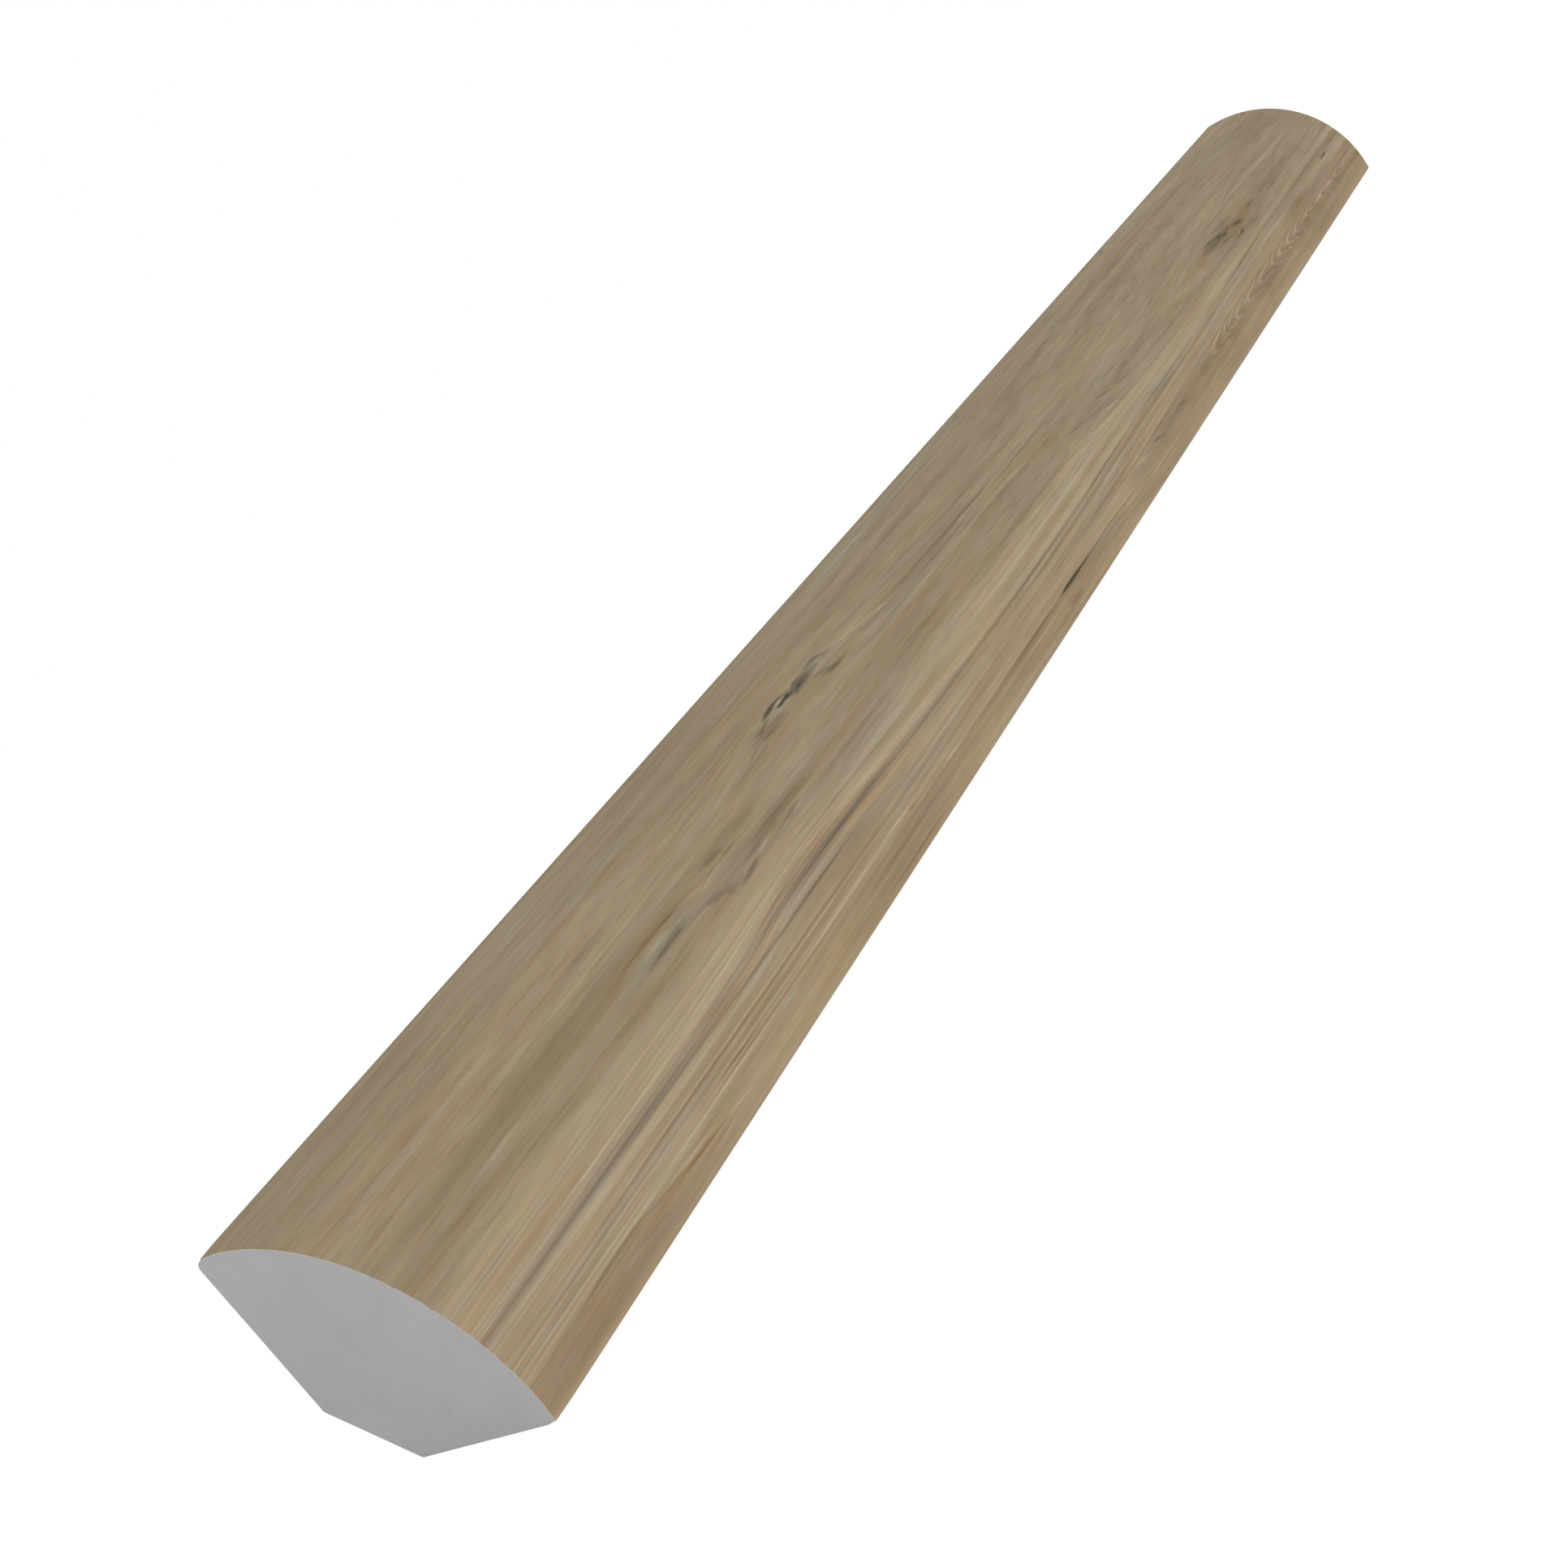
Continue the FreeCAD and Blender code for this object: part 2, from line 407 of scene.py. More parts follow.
# Soft noise of the print: its repeats to a mm along the grain and where it is read there, the same across
# the grain, then its detail and its roughness
STREAKS = {
    "wander": (0.035, 0, 0.3, 0, 2.0, 0.5),
    "wobble": (0.22, 40, 0.9, 0, 2.0, 0.5),
    "ribbons": (0.006, 0, 2.0, 0, 3.0, 0.6),
    "fibres": (0.19, 0, 2.4, 60, 3.0, 0.55),
    "swells": (0.04, 9, 0.75, 0, 2.0, 0.5),
    "warmth": (0.035, 0, 1.7, 120, 3.0, 0.55),
    "pores": (0.17, 0, 5.5, 200, 2.0, 0.6),
    "flame edge": (0.12, 0, 0.9, 20, 2.0, 0.5),
    "flame spacing": (0.07, 0, 0, 3, 1.0, 0.5),
}

# The girths between which the grain turns from close, by the vein, to loose, in mm
LOOSE_GIRTH = (8.6, 11.4)
# How far the grain wanders and wobbles where it is close, and how much further where it is loose
CLOSE_WANDER, LOOSE_WANDER = 0.12, 0.7
CLOSE_WOBBLE, LOOSE_WOBBLE = 0.02, 0.2

# The ground of the print from the floor edge to the wall edge: girth in mm and the tone there. Its tones
# also hold painted light: lighter towards the floor edge against the floor's shade, and darker towards the
# wall edge as painted shade against the sheen of the white surroundings.
GROUND_WITH_PAINTED_LIGHT = [
    (0.0, (168, 149, 120)),
    (1.4, (166, 146, 117)),
    (2.4, (159, 139, 111)),
    (3.6, (162, 144, 116)),
    (4.8, (158, 139, 112)),
    (5.8, (160, 143, 116)),
    (6.6, (156, 139, 113)),
    (7.4, (164, 147, 119)),
    (8.5, (164, 148, 120)),
    (9.8, (161, 145, 118)),
    (11.4, (149, 133, 107)),
    (17.0, (153, 137, 110)),
    (22.6, (148, 132, 105)),
    (26.0, (150, 134, 107)),
    (29.4, (147, 131, 104)),
]

# The girth that the ground's tones are spread over, in mm
GROUND_SPAN = 30.0

# How strongly the print, the core and the film's cut edge shine
PRINT_GLOSS, CORE_GLOSS, CUT_GLOSS = 0.04, 0.25, 0.5
# Repeats to a metre of the core's clouds and of the haze on the cut film
CLOUDS_PER_METRE, HAZE_PER_METRE = 260.0, 900.0

# Marks of the print by tone. Each is a long thin lens from one place to another: along and girth where it
# starts, along and girth where it ends, half its width, its strength and, unless it is straight, how far
# its middle bows up. Lengths are in mm.
MARKS = {
    "blush": [
        (-34, 1.1, 33, 1.2, 1.75, 1.2, 0.1),
        (28, 2.2, 43, 2.5, 0.8, 0.7),
        (46, 2.4, 92, 2.1, 0.7, 1.2),
        (45, 8.0, 64, 7.9, 0.5, 1.2, 0.2),
        (66, 4.5, 112, 4.3, 0.5, 1.2),
        (96, 3.4, 130, 3.6, 0.5, 0.7),
        (138, 3.8, 172, 4.4, 0.9, 0.7),
        (16, 7.35, 48, 7.5, 0.16, 0.8),
        (-8, 9.15, 30, 8.95, 0.12, 0.5),
    ],
    "peach": [
        (-14, 8.1, 42, 8.5, 0.55, 0.9),
        (-8, 7.65, 9, 7.7, 0.26, 1.0),
        (38, 9.0, 74, 8.6, 0.4, 0.8, 0.1),
        (58, 7.95, 104, 7.6, 0.5, 0.9),
        (56, 6.75, 82, 6.4, 0.3, 0.8),
        (96, 7.6, 140, 8.0, 0.3, 0.6),
    ],
    "sand": [
        (50, 9.4, 190, 8.8, 1.8, 0.8, 0.2),
        (80, 8.5, 150, 8.4, 0.5, 0.4),
        (2, 9.4, 60, 9.6, 0.9, 0.3),
        (62, 9.8, 148, 9.5, 0.7, 0.5),
        (-44, 19.0, 70, 18.6, 3.4, 0.3),
        (32.5, 13.4, 41.0, 13.55, 0.5, 1.2, 0.12),
        (222, 25.2, 237, 24.6, 1.1, 0.6, 0.4),
        (249, 23.6, 262, 22.9, 0.5, 0.5, 0.3),
        (5, 10.2, 34, 10.0, 0.6, 0.3),
        (12, 3.1, 52, 2.5, 0.8, 0.6),
        (-30, 4.3, 64, 4.4, 1.5, 0.6),
        (170, 27.2, 310, 27.0, 2.6, 0.45),
    ],
    "tan": [
        (60, 6.9, 74, 6.7, 0.35, 0.9),
        (84, 1.2, 128, 1.2, 0.7, 0.6),
        (138, 4.4, 180, 4.6, 0.8, 0.7),
        (150, 3.0, 240, 3.2, 2.2, 0.5),
        (-30, 19.4, 62, 19.3, 2.2, 0.5),
        (60, 21.4, 96, 20.7, 1.0, 0.4),
        (110, 28.1, 119, 27.5, 0.8, 0.6),
        (123, 27.3, 129, 27.0, 0.5, 0.6),
        (226, 12.1, 231, 12.3, 0.3, 0.6),
    ],
    "rose": [
        (-10, 7.85, 5, 7.75, 0.2, 0.8),
        (-10, 8.45, 22, 8.3, 0.1, 0.8),
        (26, 6.75, 54, 6.65, 0.2, 0.8),
        (28, 7.65, 50, 8.5, 0.15, 0.9, -0.1),
        (44, 8.5, 64, 8.25, 0.16, 1.0, 0.12),
        (50, 8.2, 66, 7.8, 0.2, 0.8, 0.15),
        (66, 7.6, 84, 7.25, 0.13, 0.8),
        (82.5, 18.05, 94, 16.5, 0.16, 0.9, -0.25),
        (103, 16.35, 117, 15.9, 0.12, 0.8),
        (165.9, 23.15, 168.2, 23.1, 0.2, 1.0),
        (8, 22.6, 30, 22.3, 0.18, 0.6),
        (28, 22.3, 42, 22.1, 0.1, 0.5),
        (209.8, 11.95, 212.2, 11.3, 0.22, 0.8),
        (100, 1.9, 124, 1.6, 0.3, 0.6),
    ],
    "brown": [
        (-14, 2.8, 9, 2.62, 0.14, 0.8),
        (5, 2.6, 18.5, 2.6, 0.2, 1.4, 0.3),
        (14.5, 2.75, 22.5, 2.0, 0.15, 0.7, 0.05),
        (18, 2.1, 30.0, 1.5, 0.2, 1.2, 0.12),
        (22, 1.35, 29.0, 1.4, 0.3, 0.4),
        (50, 2.0, 74, 2.2, 0.4, 0.5),
        (52, 0.65, 78, 0.5, 0.16, 0.9),
        (14, 3.5, 64, 3.2, 0.13, 0.8),
        (-10, 4.0, 26, 3.95, 0.1, 0.4),
        (28, 3.8, 38, 3.6, 0.15, 1.0, 0.04),
        (-14, 4.4, 27, 4.3, 0.15, 0.4),
        (-2, 4.9, 70, 4.7, 0.14, 0.8),
        (-6, 5.65, 36, 5.5, 0.1, 0.4),
        (41, 7.65, 54, 8.5, 0.14, 0.9, 0.05),
        (66.5, 3.45, 69.5, 3.3, 0.2, 0.7),
        (80, 2.7, 112, 2.5, 0.45, 0.7),
        (84, 1.75, 106, 1.7, 0.12, 0.6),
        (92, 3.6, 116, 3.55, 0.1, 0.7),
        (70, 4.0, 100, 3.95, 0.1, 0.5),
        (109, 1.4, 115, 1.2, 0.5, 0.9),
        (8, 16.05, 15, 15.85, 0.18, 0.7),
        (1.5, 13.6, 9, 14.2, 0.2, 0.6),
        (11, 15.0, 26, 14.3, 0.2, 0.6),
        (26, 14.0, 35, 14.3, 0.2, 0.6),
        (27, 14.3, 47, 14.2, 0.8, 0.8, 0.3),
        (61, 16.8, 65.5, 17.6, 0.22, 0.8, 0.05),
        (68, 18.0, 71, 17.2, 0.5, 0.4),
        (71, 16.5, 79, 16.3, 0.2, 0.5),
        (126, 6.75, 152, 7.15, 0.16, 0.6),
        (120, 22.6, 176, 22.6, 1.1, 0.5),
        (104, 21.6, 150, 22.2, 0.7, 0.4),
        (156.5, 12.4, 161.5, 11.9, 0.35, 0.7),
        (222, 6.6, 244, 6.0, 1.1, 0.6),
        (218, 7.3, 238, 7.0, 0.5, 0.4),
        (194, 11.5, 197.5, 11.6, 0.2, 0.6),
        (212, 11.9, 250, 11.6, 0.9, 0.8),
        (184, 12.0, 206, 12.2, 0.8, 0.6),
        (138, 4.3, 170, 4.6, 0.3, 0.8),
        (136, 3.5, 172, 3.6, 1.0, 0.6),
        (208, 24.6, 214, 25.4, 0.4, 0.4),
        (212, 12.2, 220, 12.1, 0.5, 0.6),
        (212.6, 10.1, 220, 10.3, 0.34, 0.6),
        (44.6, 13.45, 48.2, 13.75, 0.14, 0.6),
    ],
    "olive": [
        (-10, 14.7, 48, 14.5, 1.9, 0.95),
        (-6, 12.3, 26, 12.4, 0.9, 0.7),
        (22, 12.8, 36, 12.7, 0.5, 0.5),
        (44, 12.4, 68, 12.5, 1.1, 0.7),
        (38, 14.6, 62, 14.4, 1.1, 0.6),
        (70, 11.8, 104, 12.2, 1.6, 0.45),
        (50, 14.2, 58, 14.3, 0.45, 0.7),
        (60, 19.1, 67, 19.35, 0.2, 0.6),
        (58, 11.1, 88, 10.9, 0.4, 0.6),
        (76, 11.2, 112, 11.0, 0.5, 0.7),
        (96, 10.8, 140, 10.8, 0.36, 0.7),
        (80, 17.0, 124, 16.2, 1.7, 0.55),
        (118, 10.75, 144, 10.2, 0.18, 0.7, 0.05),
        (136, 10.35, 160, 9.4, 0.2, 0.8),
        (150, 9.7, 182, 9.2, 0.2, 0.7, -0.05),
        (157, 10.7, 184, 10.3, 0.18, 0.6),
        (70, 17.3, 86, 16.4, 1.1, 0.35),
        (196, 12.4, 206, 12.6, 0.7, 0.7),
        (198, 11.4, 232, 11.2, 2.2, 0.8),
        (190, 8.3, 300, 8.2, 1.8, 0.6),
        (213, 10.0, 219, 10.1, 0.4, 0.8),
        (216, 9.45, 221, 9.9, 0.22, 0.7),
        (192, 12.6, 199, 12.5, 0.3, 0.5),
        (214, 15.2, 232, 15.3, 0.2, 0.7),
        (210, 13.9, 266, 13.4, 0.2, 0.6, 0.1),
        (236, 19.5, 275, 19.0, 3.2, 0.55),
        (212, 20.9, 252, 19.6, 0.3, 0.6),
        (200, 23.3, 238, 22.7, 0.3, 0.6),
        (48, 28.5, 56, 27.8, 0.7, 0.6),
        (92, 28.2, 102, 27.6, 0.6, 0.5),
        (168, 26.4, 178, 26.8, 0.9, 0.4),
        (0, 24.0, 18, 23.8, 0.7, 0.5),
        (130, 16.4, 160, 16.2, 0.2, 0.6),
        (126, 18.9, 136, 19.3, 0.3, 0.6),
        (108, 14.6, 130, 13.8, 0.3, 0.6),
    ],
    "violet": [
        (-14, 6.75, 40, 6.5, 0.66, 0.7, 0.1),
        (6, 6.6, 52, 6.4, 0.36, 0.5),
        (11, 7.1, 46, 7.15, 0.2, 0.5),
        (38, 7.25, 78, 7.0, 0.56, 1.1, 0.3),
        (64, 7.1, 118, 6.5, 0.18, 0.7, -0.05),
        (92, 6.6, 134, 6.6, 0.15, 0.8),
        (12, 1.9, 19.0, 1.4, 0.15, 0.9),
        (39.5, 12.7, 50.5, 11.2, 0.8, 0.9),
        (32.4, 12.7, 43.4, 12.85, 0.6, 0.8),
        (28, 24.6, 58, 24.8, 0.9, 0.4),
        (148, 23.3, 168, 22.9, 0.3, 0.6),
        (176, 22.8, 206, 22.6, 0.7, 0.6),
        (195, 12.5, 206, 12.1, 0.45, 0.7),
        (226, 18.2, 258, 18.0, 1.0, 0.5),
        (84, 2.95, 112, 2.85, 0.24, 0.7),
        (132, 2.5, 148, 1.9, 0.16, 0.6),
        (162, 4.4, 178, 5.2, 0.25, 0.7),
        (214, 11.3, 221, 11.9, 0.4, 0.6),
        (246, 22.4, 268, 21.0, 0.6, 0.5),
    ],
    "slate": [
        (37.2, 12.8, 41.2, 12.75, 0.26, 0.9),
        (34.2, 12.7, 37.6, 12.6, 0.2, 0.7),
        (44.2, 11.45, 47.8, 11.15, 0.3, 0.6),
        (47.2, 10.8, 51.0, 11.2, 0.16, 0.6),
        (46.8, 14.35, 50.4, 14.25, 0.26, 0.6),
        (74.0, 18.7, 82.0, 18.8, 0.6, 0.6),
        (77.4, 18.95, 81.2, 18.85, 0.3, 0.9, 0.1),
        (79.4, 19.0, 83.0, 18.0, 0.36, 0.8, 0.05),
        (63.4, 18.9, 68.8, 18.7, 0.3, 0.5),
        (77.4, 17.0, 81.6, 16.5, 0.4, 0.9),
        (76.4, 18.15, 80.2, 18.3, 0.3, 0.7),
        (79, 15.7, 94, 14.8, 0.26, 0.7),
        (84, 15.5, 104, 15.0, 0.22, 0.5),
        (80, 19.3, 98, 18.1, 0.3, 0.4),
        (93, 19.0, 115, 17.7, 0.3, 0.55),
        (89, 18.5, 108, 17.2, 0.28, 0.45),
        (104, 18.2, 128, 17.3, 0.26, 0.45),
        (77, 14.15, 85, 13.75, 0.14, 0.5),
        (165.5, 24.1, 173.5, 24.0, 0.9, 0.4),
        (150, 3.95, 159, 3.7, 0.4, 0.4),
        (147, 3.95, 150.5, 3.6, 0.2, 0.6),
        (139.6, 27.2, 143.6, 27.9, 0.9, 0.5),
        (119, 25.9, 125, 25.5, 0.3, 0.5),
        (138, 7.15, 182, 7.25, 0.14, 0.8),
        (186, 7.55, 219, 8.1, 0.17, 0.9),
        (208, 10.05, 212.8, 10.4, 0.2, 0.8),
        (204, 12.35, 209, 12.1, 0.28, 0.6),
        (214, 11.7, 217.2, 11.9, 0.3, 0.5),
        (107, 15.1, 114, 14.8, 0.3, 0.4),
        (114, 2.86, 132, 2.72, 0.16, 0.8),
    ],
    "umber": [
        (14, 6.4, 72, 6.2, 0.22, 0.6),
        (46, 6.4, 60, 6.35, 0.16, 0.6),
        (48, 7.45, 70, 7.2, 0.2, 0.6, 0.12),
        (121, 6.6, 147, 7.15, 0.15, 0.9),
        (31, 14.1, 43.5, 13.95, 0.22, 0.5, 0.22),
        (37.6, 14.3, 43, 13.9, 0.16, 0.6, 0.05),
        (33.5, 12.6, 41.5, 12.75, 0.32, 0.85, 0.1),
        (37.2, 13.0, 42, 12.85, 0.13, 0.5, 0.14),
        (41.5, 12.3, 47.5, 11.6, 0.42, 0.5),
        (46.8, 10.9, 52.5, 11.55, 0.26, 0.7),
        (48.5, 11.75, 55, 12.0, 0.26, 0.5, 0.1),
        (54.4, 11.2, 61, 11.6, 0.2, 0.7, 0.08),
        (50, 12.5, 63, 12.4, 0.2, 0.5),
        (46, 14.6, 51.4, 14.1, 0.5, 0.7),
        (48.4, 13.8, 51.2, 13.6, 0.2, 0.6),
        (62.5, 18.0, 71.6, 17.6, 1.0, 0.5),
        (66.4, 18.2, 69.8, 18.6, 0.26, 0.6),
        (72.4, 18.3, 79.4, 18.45, 0.85, 1.0),
        (76.4, 16.9, 83.0, 16.4, 0.45, 0.5),
        (76.2, 17.8, 80.2, 16.9, 0.36, 0.5),
        (64.8, 18.2, 68.4, 18.2, 0.35, 0.5),
        (64.6, 17.4, 69.0, 17.3, 0.3, 0.4),
        (81, 17.7, 98, 16.2, 0.3, 0.4, -0.4),
        (84, 18.0, 104, 16.6, 0.2, 0.4, -0.2),
        (94, 15.9, 114, 15.3, 0.16, 0.5),
        (84, 12.6, 100, 11.7, 0.2, 0.4),
        (88, 16.9, 112, 16.4, 0.26, 0.5),
        (101, 16.6, 126, 15.9, 0.24, 0.5),
        (112, 15.7, 148, 15.3, 0.24, 0.7),
        (96, 17.5, 120, 16.9, 0.16, 0.4),
        (106, 2.85, 126, 2.75, 0.22, 0.9),
        (94, 2.72, 111, 2.86, 0.14, 0.6),
        (120, 3.05, 142, 2.35, 0.16, 0.7),
        (136, 12.25, 142.5, 11.5, 0.17, 0.8),
        (140, 11.65, 150, 10.75, 0.17, 0.7),
        (147.5, 12.3, 152.5, 11.3, 0.17, 0.8),
        (151, 11.35, 162, 10.7, 0.14, 0.6),
        (142, 10.95, 158, 10.0, 0.14, 0.6),
        (103, 26.6, 114, 27.2, 0.3, 0.7),
        (109, 27.3, 124, 27.1, 0.24, 0.5),
        (116.4, 28.6, 119.6, 28.4, 0.5, 0.5),
        (59.2, 28.6, 62.4, 28.2, 0.6, 0.5),
        (199, 27.4, 203.6, 28.2, 0.28, 0.7),
        (199.5, 12.95, 207.5, 12.6, 0.2, 0.9, 0.05),
        (202.5, 12.25, 210, 11.95, 0.32, 1.0),
        (210.4, 11.9, 217.8, 11.2, 0.7, 1.0),
        (196, 12.5, 216, 12.0, 1.1, 0.8),
        (203, 13.6, 219, 12.6, 0.4, 0.6),
        (200, 11.4, 212, 11.0, 0.4, 0.6),
        (207, 10.5, 216, 10.2, 0.5, 0.5),
        (211, 10.1, 213.6, 10.35, 0.2, 0.8),
        (219, 11.6, 225, 11.9, 0.4, 0.7),
        (250.6, 7.15, 257.6, 7.3, 0.28, 0.9),
        (256, 7.75, 270, 7.65, 0.12, 1.0),
        (146.4, 3.8, 151.8, 3.3, 0.5, 0.7),
        (156.4, 3.7, 162, 3.4, 0.5, 0.6),
    ],
    "bark": [
        (67.8, 18.75, 72.2, 19.1, 0.44, 1.0, 0.05),
        (70.8, 18.5, 75.0, 18.45, 0.4, 1.1),
        (72.8, 18.35, 78.4, 18.45, 0.75, 0.5),
        (78.4, 18.95, 81.4, 18.8, 0.3, 0.4),
        (79.6, 18.4, 82.4, 18.1, 0.3, 0.35),
        (77.8, 16.7, 81.4, 16.4, 0.3, 0.4),
        (69.4, 19.1, 75.0, 18.8, 0.2, 1.0, 0.12),
        (69.8, 18.75, 74.0, 18.65, 0.24, 1.0, -0.25),
        (72.4, 18.6, 74.6, 18.85, 0.2, 0.7),
        (72.6, 17.8, 75.6, 18.1, 0.3, 0.4),
        (74.6, 18.3, 76.8, 18.4, 0.3, 0.4),
        (74.4, 18.9, 76.6, 18.85, 0.22, 0.5),
        (107.8, 2.86, 121, 2.8, 0.22, 1.0),
        (108.8, 2.84, 117, 2.8, 0.34, 0.8),
        (204.2, 12.5, 208.6, 12.15, 0.26, 1.0),
        (206.8, 11.9, 210.0, 11.9, 0.32, 0.9),
        (209.2, 12.2, 211.0, 12.0, 0.22, 0.7),
        (212.0, 11.6, 215.8, 11.2, 0.34, 0.9),
        (252.0, 7.25, 257.0, 7.3, 0.24, 0.8),
        (210.6, 10.4, 213.4, 10.2, 0.2, 0.7),
        (34.8, 12.6, 38.0, 12.7, 0.16, 0.25),
        (38.4, 12.78, 40.6, 12.7, 0.17, 0.3),
    ],
    "cream": [
        (4, 7.75, 31, 7.68, 0.14, 0.8),
        (24, 7.85, 48, 8.7, 0.14, 0.6, -0.1),
        (40, 8.7, 56, 8.9, 0.14, 0.4, 0.1),
        (50, 8.85, 74, 7.85, 0.14, 0.6, 0.1),
        (-6, 7.1, 10, 7.12, 0.1, 0.6),
        (-4, 8.9, 44, 8.95, 0.16, 0.35),
        (-8, 3.62, 22, 3.5, 0.15, 0.5),
        (14, 3.32, 44, 3.1, 0.15, 0.4),
        (18, 3.98, 60, 3.85, 0.13, 0.5),
        (10, 5.05, 50, 4.98, 0.13, 0.5),
        (26, 4.5, 68, 4.45, 0.13, 0.7),
        (2, 5.95, 44, 5.9, 0.15, 0.3),
        (42, 3.55, 62, 3.6, 0.13, 0.9),
        (60, 3.85, 70, 3.4, 0.16, 0.45, 0.1),
        (58, 5.0, 96, 4.95, 0.12, 0.6),
        (96, 6.35, 140, 6.4, 0.2, 0.4),
        (75, 3.15, 81.5, 2.95, 0.14, 0.9),
        (90, 2.15, 114, 2.0, 0.12, 0.6),
        (8, 3.0, 22, 2.75, 0.14, 0.5, 0.25),
        (16.5, 2.65, 28, 2.05, 0.22, 0.8, 0.05),
        (27.0, 1.75, 32.5, 1.4, 0.18, 0.8),
        (24.5, 0.8, 28.6, 1.25, 0.14, 0.6),
        (127, 2.55, 140, 1.85, 0.13, 0.7),
        (134, 1.9, 164, 1.55, 0.1, 0.6),
        (126, 5.7, 152, 6.4, 0.12, 0.6),
        (102, 6.25, 124, 6.2, 0.12, 0.4),
        (4, 13.2, 22, 13.5, 0.2, 0.3, 0.05),
        (34.4, 13.4, 39.6, 13.4, 0.2, 0.4, 0.05),
        (43.5, 13.3, 48.5, 13.4, 0.2, 0.4),
        (1, 16.4, 50, 16.6, 0.22, 0.3, 0.05),
        (70.8, 18.8, 72.8, 18.8, 0.16, 0.5),
        (80.4, 18.9, 96, 16.4, 0.24, 0.5, -0.45),
        (102, 16.15, 130, 15.6, 0.2, 0.4),
        (70, 14.7, 79, 14.8, 0.2, 0.4),
        (205, 14.9, 280, 14.1, 0.26, 0.3),
        (203, 14.9, 227, 14.2, 0.2, 0.35, 0.1),
        (147.0, 3.5, 150.6, 3.3, 0.2, 0.4),
        (157.6, 3.6, 161.0, 3.3, 0.2, 0.4),
        (139, 4.0, 146, 3.3, 0.16, 0.7, 0.15),
        (137, 4.3, 144, 4.6, 0.12, 0.5),
        (143.5, 10.7, 150.5, 10.2, 0.14, 0.5),
        (146.6, 12.0, 150.2, 11.5, 0.14, 0.5),
    ],
    "gleam": [
        (50.2, 11.25, 54.6, 11.75, 0.2, 0.9, 0.05),
        (53.4, 10.9, 57.8, 11.3, 0.2, 0.9),
        (57.2, 11.2, 61.2, 11.4, 0.15, 0.6),
        (40.6, 12.2, 43.2, 11.9, 0.14, 0.5),
        (42.8, 11.6, 45.4, 11.35, 0.15, 0.5),
        (45.4, 11.3, 48.0, 11.1, 0.12, 0.4),
        (8, 2.1, 17.0, 1.5, 0.3, 0.8),
        (-2, 1.9, 8, 1.5, 0.22, 0.4),
        (38.8, 3.05, 43.6, 2.55, 0.28, 0.7),
        (40, 2.25, 44.4, 1.7, 0.2, 0.7),
        (41.4, 2.1, 46.4, 2.3, 0.12, 0.6),
        (71.6, 18.35, 73.8, 18.25, 0.12, 0.6),
        (91.5, 13.0, 97.5, 12.5, 0.26, 0.5),
        (168, 7.2, 192, 7.45, 0.2, 0.6),
        (210.2, 10.35, 212.2, 10.5, 0.14, 0.9),
        (146, 26.9, 150.6, 26.4, 0.4, 0.5),
        (80, 26.4, 134, 26.1, 1.5, 0.5),
        (134, 26.9, 138, 26.6, 0.4, 0.4),
        (168.6, 24.2, 170.4, 24.1, 0.25, 0.5),
        (203.4, 12.2, 206.4, 12.4, 0.08, 0.5),
        (25, 24.6, 31, 24.7, 0.25, 0.3),
        (25, 22.6, 38, 22.4, 0.2, 0.3),
        (41, 22.4, 51, 22.2, 0.2, 0.3),
        (34, 26.3, 41, 26.1, 0.3, 0.4),
    ],
}

# A mark of no strength before the near end, which fills up a last group of three
IDLE_MARK = (-9.0, 0.0, -8.0, 0.0, 1.0, 0.0)

# Flame figure near the far end: the girth of its nested tips, the stretch that they lie in and how far
# apart they are, in mm. The opening is how far a tip has swept back where it is 1 mm off its axis. It
# widens between two places, and the figure has faded out at its reach from the axis.
FLAME_AXIS = 4.15
FLAME_FROM, FLAME_TO = 168.0, 264.0
FLAME_SPACING = 5.6
FLAME_OPENING, FLAME_WIDENING = 7.0, 13.0
FLAME_WIDENS = (222, 242)
FLAME_REACH = 2.1

# Even growth lines beside the vein: their turn to a mm and their drift, in radians, the girths where they
# begin and end, the places where they start to fade and are gone, and their depth
RING_TURNS = 16.5
RING_DRIFT = 7.0
RINGS_BEGIN, RINGS_END, RINGS_FADE = (2.8, 3.5), (8.8, 9.8), (40, 120)
RING_DEPTH = 0.042

# The ribbons grow stronger between these girths, and the pores between these places, in mm
RIBBON_GIRTH = (1.8, 3.2)
PORE_PLACES = (90, 190)


def lift_along(finish, along, line):
    """The rise of one followed grain line over the length, in mm."""
    curve = [(place / FLOW_END, 0.5 + rise / (2 * FLOW_REACH)) for place, rise in line]
    read = finish.node("FloatCurve", {"curve": curve}, {"Factor": 1.0, "Value": along / FLOW_END})
    return (read - 0.5) * (2 * FLOW_REACH)


def follow_grain(finish, along, girth):
    """The girth that a place's grain line has at the near end, so that streaks follow the wood's flow."""
    flow = lift_along(finish, along, GRAIN_FLOW[0][1])
    last = flow
    for (low, _), (high, line) in zip(GRAIN_FLOW, GRAIN_FLOW[1:]):
        lift = lift_along(finish, along, line)
        flow = flow + (lift - last) * finish.ease(girth, low, high)
        last = lift
    grain = girth - flow
    for place, middle, reach, spread, parting in KNOTS:
        run, rise = (along - place) / reach, (girth - middle) / spread
        near = run * run + rise * rise
        grain = grain - (girth - middle) * parting / (1 + near * near)
    return grain


def streaks(finish, name, along, girth):
    """The noise that STREAKS gives under a name, from 0 to 1."""
    per_along, along_start, per_girth, girth_start, detail, roughness = STREAKS[name]
    place = finish.node("CombineXYZ", None, {0: along * per_along + along_start,
                                             1: girth * per_girth + girth_start})
    return finish.node("TexNoise", {"noise_dimensions": "2D"},
                       {"Vector": place, "Scale": 1.0, "Detail": detail, "Roughness": roughness})


